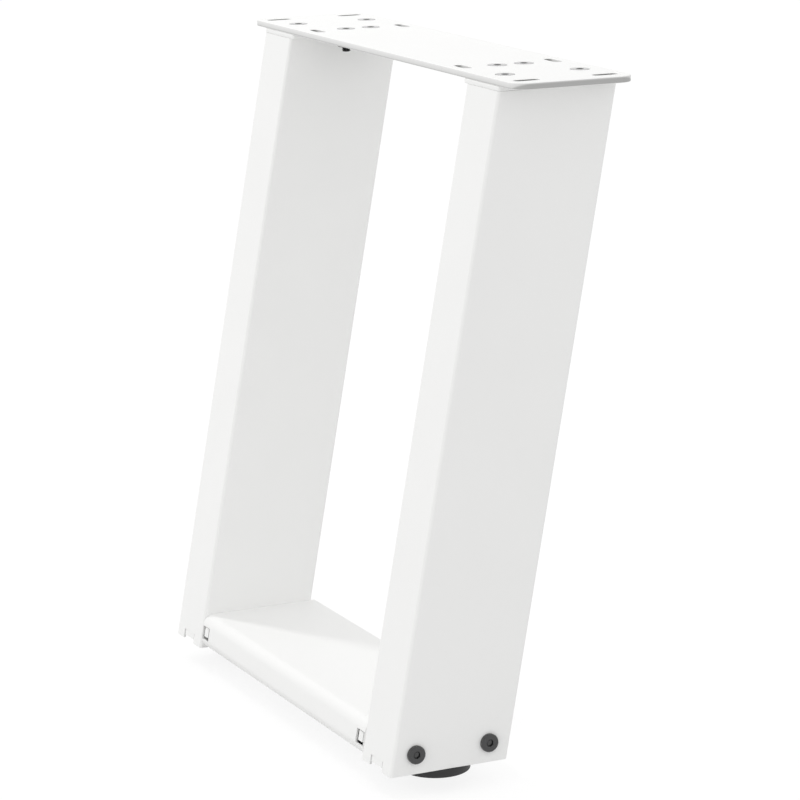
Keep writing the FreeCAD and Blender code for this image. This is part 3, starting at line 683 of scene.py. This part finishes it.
def make_floor():
    """A white studio floor, as low as the feet reach when they are screwed out. To the camera and in
    reflections it glows a little, so that it meets the white background without an edge and still takes
    the leg's shadow, softly. From beneath it is clear."""
    low = cad_box[0].z - FOOT_TRAVEL_MM * MM
    mesh = bpy.data.meshes.new("floor")
    reach = FLOOR_REACH
    corners = [
        (-reach, -reach, low), (reach, -reach, low), (reach, reach, low), (-reach, reach, low),
    ]
    mesh.from_pydata(corners, [], [(0, 1, 2, 3)])
    floor = bpy.data.objects.new("floor", mesh)
    bpy.context.scene.collection.objects.link(floor)
    material, tree, shader, _ = new_material("studio_floor")
    shader.inputs["Roughness"].default_value = 0.9
    shader.inputs["Specular IOR Level"].default_value = 0.0
    path, seen = seen_rays(tree)
    tint = add_node(tree, "ShaderNodeValToRGB", Fac=seen)
    tint.color_ramp.elements[0].color = linear("#E1E1E1")
    tint.color_ramp.elements[1].color = linear("#707070")
    tree.links.new(tint.outputs["Color"], shader.inputs["Base Color"])
    glow = add_node(tree, "ShaderNodeMapRange", Value=seen, To_Min=0.0, To_Max=FLOOR_GLOW)
    shader.inputs["Emission Color"].default_value = linear("#FFFFFF")
    tree.links.new(glow.outputs["Result"], shader.inputs["Emission Strength"])
    beneath = add_node(tree, "ShaderNodeNewGeometry").outputs["Backfacing"]
    clear_there = add_node(tree, "ShaderNodeMath", {"operation": "MULTIPLY"}, Value=beneath)
    tree.links.new(path.outputs["Is Camera Ray"], clear_there.inputs[1])
    clear = add_node(tree, "ShaderNodeBsdfTransparent")
    one_sided = add_node(tree, "ShaderNodeMixShader", Fac=clear_there.outputs["Value"])
    tree.links.new(shader.outputs["BSDF"], one_sided.inputs[1])
    tree.links.new(clear.outputs["BSDF"], one_sided.inputs[2])
    tree.links.new(one_sided.outputs["Shader"], tree.get_output_node("ALL").inputs["Surface"])
    mesh.materials.append(material)


def make_world():
    """White seen from the camera and in reflections, and a plain dimmer white that lights the leg."""
    world = bpy.data.worlds.new("studio")
    bpy.context.scene.world = world
    world.use_nodes = True
    tree = world.node_tree
    tree.nodes.clear()
    _, seen = seen_rays(tree)
    strength = add_node(tree, "ShaderNodeMapRange", Value=seen, To_Min=WORLD_LIGHT, To_Max=1.0)
    sky = add_node(
        tree, "ShaderNodeBackground", Color=linear("#FFFFFF"), Strength=strength.outputs["Result"]
    )
    output = add_node(tree, "ShaderNodeOutputWorld")
    tree.links.new(sky.outputs["Background"], output.inputs["Surface"])


def make_lamp(name, place, size, power):
    """A square soft box that lights the leg and doesn't show itself."""
    data = bpy.data.lights.new(name, "AREA")
    data.shape = "SQUARE"
    data.size = size
    data.energy = power
    lamp = bpy.data.objects.new(name, data)
    bpy.context.scene.collection.objects.link(lamp)
    lamp.visible_camera = False
    lamp.location = place
    lamp.rotation_mode = "QUATERNION"
    lamp.rotation_quaternion = (LAMP_AIM - place).to_track_quat("-Z", "Y")


def make_camera():
    """The camera at the photograph's viewing angle."""
    data = bpy.data.cameras.new("camera")
    data.lens = CAMERA_LENS_MM
    data.sensor_width = 36
    camera = bpy.data.objects.new("camera", data)
    bpy.context.scene.collection.objects.link(camera)
    camera.location = CAMERA_PLACE
    look = CAMERA_AIM - CAMERA_PLACE
    camera.rotation_mode = "QUATERNION"
    roll = Quaternion(look.normalized(), math.radians(CAMERA_ROLL_DEG))
    camera.rotation_quaternion = roll @ look.to_track_quat("-Z", "Y")
    bpy.context.scene.camera = camera


white_coat = powder_coated_steel()
# painted shade for the plate's cut outline and for its slots
outline_shaded_coat = cut_edge_painted_shade()
slot_shaded_coat = slot_painted_shade()
black_lacquer = black_lacquered_steel()
zinc = zinc_plated_steel()
polyamide = moulded_polyamide()

# the plate's outline and slots take painted shade
coat("top_plate", PLATE_EDGE_RADIUS, white_coat, outline_shaded_coat, slot_shaded_coat)
coat("crossbar", SHEET_EDGE_RADIUS, white_coat)
for side, along in SIDES.items():
    coat(f"{side}_post_flange", PLATE_EDGE_RADIUS, white_coat)
    coat(f"{side}_crossbar_block", BLOCK_EDGE_RADIUS, white_coat)
    for part in ("post", "foot_plate"):
        coat(f"{side}_{part}", SHEET_EDGE_RADIUS, white_coat)
    for number in SCREWS:
        plate_screw(f"{side}_plate_screw_{number}", black_lacquer)
        hexagon_nut(f"{side}_flange_nut_{number}", M6, black_lacquer)
    for end in ENDS:
        crossbar_bolt(f"{side}_crossbar_bolt_{end}", along, black_lacquer)
    hexagon_nut(f"{side}_foot_nut", M8, zinc)
    foot_stud(f"{side}_foot_stud", zinc)
    foot_pad(f"{side}_foot_pad", polyamide)

make_floor()
make_world()
make_lamp("key", KEY_PLACE, KEY_SIZE, KEY_POWER)
make_lamp("fill", FILL_PLACE, FILL_SIZE, FILL_POWER)
make_camera()
bpy.context.scene.view_settings.view_transform = "Standard"
